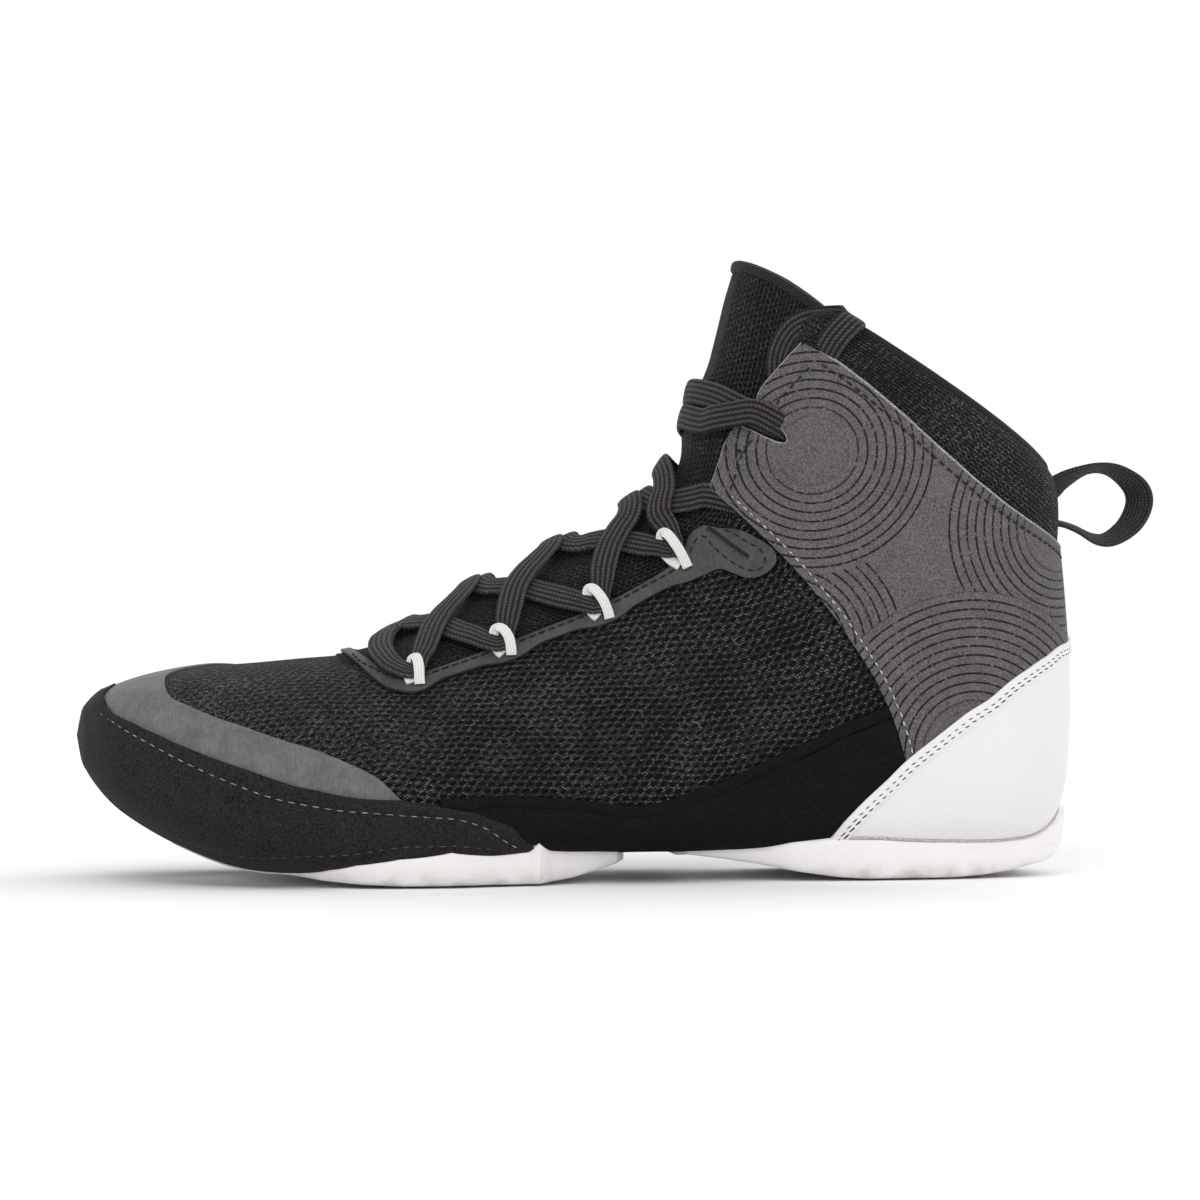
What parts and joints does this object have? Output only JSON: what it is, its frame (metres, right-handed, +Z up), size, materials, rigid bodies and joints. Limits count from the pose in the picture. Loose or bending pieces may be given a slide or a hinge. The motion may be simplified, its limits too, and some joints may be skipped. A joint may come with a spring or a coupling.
{
  "type": "wrestling shoe",
  "caption": "Left high-top wrestling shoe with mesh upper, split rubber outsole, laced throat through tape loops, ankle strap, heel counter and pull loop.",
  "frame": {"origin": "centre of the bounding box in plan, on the floor plane under the two outsoles", "axes": "toe along -X, lateral side of the left shoe along -Y, collar and tongue up along +Z"},
  "size_m": [0.311, 0.102, 0.1809],
  "materials": {
    "mesh": "open knit mesh, near black",
    "lining": "padded spacer mesh, black",
    "insole": "brushed textile over foam",
    "rubber": "off-white matte rubber, lightly scuffed",
    "suede": "black napped suede",
    "film": "dark warm grey film with a woven emboss",
    "microfibre": "smooth black microfibre",
    "counter": "smooth white synthetic leather",
    "strap": "grey suede with a fine dark line print",
    "tape": "white woven tape",
    "lace": "flat woven lace, charcoal",
    "webbing": "ribbed black webbing"
  },
  "bodies": {
    "root": {"upper": "mesh", "tongue": "lining", "insole": "insole", "outsole_forefoot": "rubber", "outsole_heel": "rubber", "toe_wrap": "suede", "toe_film": "film", "arch_wrap": "microfibre", "heel_counter": "counter", "ankle_strap": "strap", "eyestay": "film", "loop_lateral_1": "tape", "loop_lateral_2": "tape", "loop_lateral_3": "tape", "loop_lateral_4": "tape", "loop_medial_1": "tape", "loop_medial_2": "tape", "loop_medial_3": "tape", "loop_medial_4": "tape", "lace_bar": "lace", "lace_cross_1": "lace", "lace_cross_2": "lace", "lace_cross_3": "lace", "lace_cross_4": "lace", "lace_front": "lace", "pull_loop": "webbing", "lace_end": "lace"}
  },
  "joints": []
}
